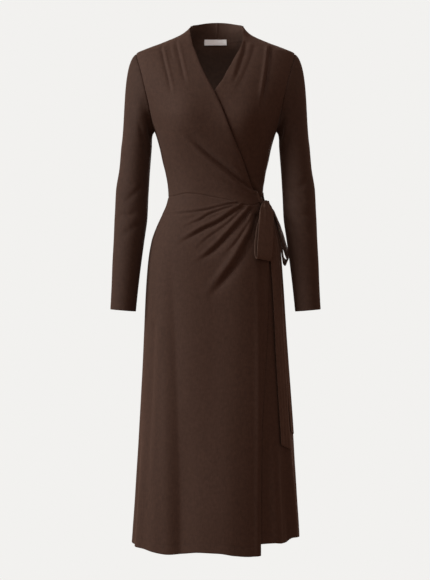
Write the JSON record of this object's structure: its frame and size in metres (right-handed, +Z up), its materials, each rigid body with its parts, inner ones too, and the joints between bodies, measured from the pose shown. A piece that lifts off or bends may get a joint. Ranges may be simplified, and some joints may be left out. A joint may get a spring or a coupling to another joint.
{
  "type": "wrap dress",
  "caption": "Long-sleeved midi wrap dress in dark jersey: crossed V neck with a stand collar, waist seam, draped over skirt, and a bow with hanging ends tied at the side.",
  "frame": {"origin": "midway between the two shoulder seams at shoulder height, where the wearer's shoulders hold the dress up", "axes": "+Z up to the collar, -Y out of the front, +X to the wearer's left, the side of the bow"},
  "size_m": [0.4914, 0.3096, 1.2418],
  "materials": {
    "jersey": "dark brown fine-gauge jersey, matt with a soft sheen",
    "label": "blank white woven label"
  },
  "bodies": {
    "root": {"front_over": "jersey", "front_under": "jersey", "bodice_back": "jersey", "skirt_over": "jersey", "skirt_under": "jersey", "skirt_back": "jersey", "sleeve_left": "jersey", "sleeve_right": "jersey", "tie_side_strap": "jersey", "tie_front_stub": "jersey", "tie_knot": "jersey", "tie_loop_front": "jersey", "tie_loop_side": "jersey", "tie_tail_front": "jersey", "tie_tail_side": "jersey", "neck_label": "label"}
  },
  "joints": []
}
